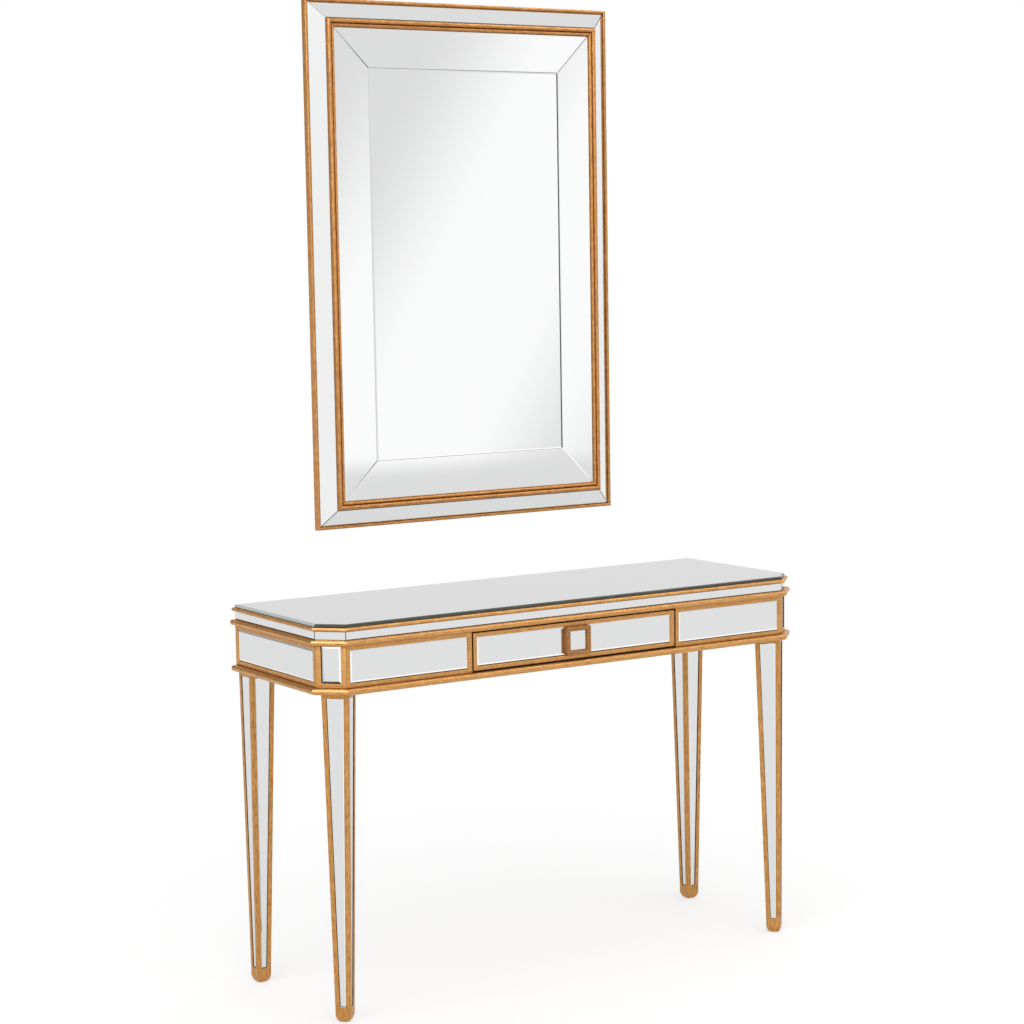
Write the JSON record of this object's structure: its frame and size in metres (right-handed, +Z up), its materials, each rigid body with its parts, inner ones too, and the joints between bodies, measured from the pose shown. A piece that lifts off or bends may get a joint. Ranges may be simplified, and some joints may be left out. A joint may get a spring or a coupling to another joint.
{
  "type": "mirrored vanity table with wall mirror",
  "caption": "Mirrored vanity console with cut front corners, tapered legs and a drawer with a square knob, below a tall wall mirror in a stepped gilt and mirror-glass frame.",
  "frame": {"origin": "on the floor, in the middle of the box that the table and its wall mirror take together", "axes": "+Z up, +X to the right of someone who faces the table, -Y towards that person; the wall is at the +Y side"},
  "size_m": [1.178, 0.423, 2.006],
  "materials": {
    "gilt_wood": "antique champagne gold leaf over carved wood, rubbed back to brown in the recesses",
    "gilt_knob": "the same gilding, slightly browner",
    "mirror_glass": "silvered plate glass with ground bevels",
    "bare_wood": "planed softwood, unfinished",
    "painted_board": "fibreboard painted dark brown",
    "zinc_steel": "zinc-plated pressed steel"
  },
  "bodies": {
    "table": {"glass_top": "mirror_glass", "top_board": "painted_board", "top_bead": "gilt_wood", "frieze_left_end": "mirror_glass", "frieze_left_corner": "mirror_glass", "frieze_front": "mirror_glass", "frieze_right_corner": "mirror_glass", "frieze_right_end": "mirror_glass", "waist_bead": "gilt_wood", "lower_bead": "gilt_wood", "apron_left_end": "gilt_wood", "panel_left_end": "mirror_glass", "apron_left_corner": "gilt_wood", "panel_left_corner": "mirror_glass", "apron_front_left": "gilt_wood", "panel_front_left": "mirror_glass", "apron_front_right": "gilt_wood", "panel_front_right": "mirror_glass", "apron_right_corner": "gilt_wood", "panel_right_corner": "mirror_glass", "apron_right_end": "gilt_wood", "panel_right_end": "mirror_glass", "back_board": "painted_board", "leg_front_left": "gilt_wood", "leg_front_right": "gilt_wood", "leg_back_left": "gilt_wood", "leg_back_right": "gilt_wood", "corner_block_front_left": "bare_wood", "corner_block_front_right": "bare_wood", "corner_block_back_left": "bare_wood", "corner_block_back_right": "bare_wood", "drawer_runner_left": "bare_wood", "drawer_runner_right": "bare_wood"},
    "drawer": {"drawer_front": "gilt_wood", "drawer_pane_left": "mirror_glass", "drawer_pane_right": "mirror_glass", "drawer_side_left": "bare_wood", "drawer_side_right": "bare_wood", "drawer_back": "bare_wood", "drawer_bottom": "bare_wood", "knob_body": "gilt_knob", "knob_mirror": "mirror_glass", "knob_screw": "zinc_steel"},
    "wall_mirror": {"mirror_core": "painted_board", "hanger_left": "zinc_steel", "hanger_right": "zinc_steel", "outer_moulding": "gilt_wood", "inner_moulding": "gilt_wood", "outer_strip_bottom": "mirror_glass", "outer_strip_right": "mirror_glass", "outer_strip_top": "mirror_glass", "outer_strip_left": "mirror_glass", "inner_strip_bottom": "mirror_glass", "inner_strip_right": "mirror_glass", "inner_strip_top": "mirror_glass", "inner_strip_left": "mirror_glass", "centre_mirror": "mirror_glass"}
  },
  "joints": [
    {"name": "drawer_slide", "type": "slide", "parent": "table", "child": "drawer", "axis": [0, -1, 0], "range_m": [0, 0.25]},
    {"name": "mirror_lift", "type": "slide", "parent": "table", "child": "wall_mirror", "axis": [0, 0, 1], "range_m": [0, 0.03]}
  ]
}
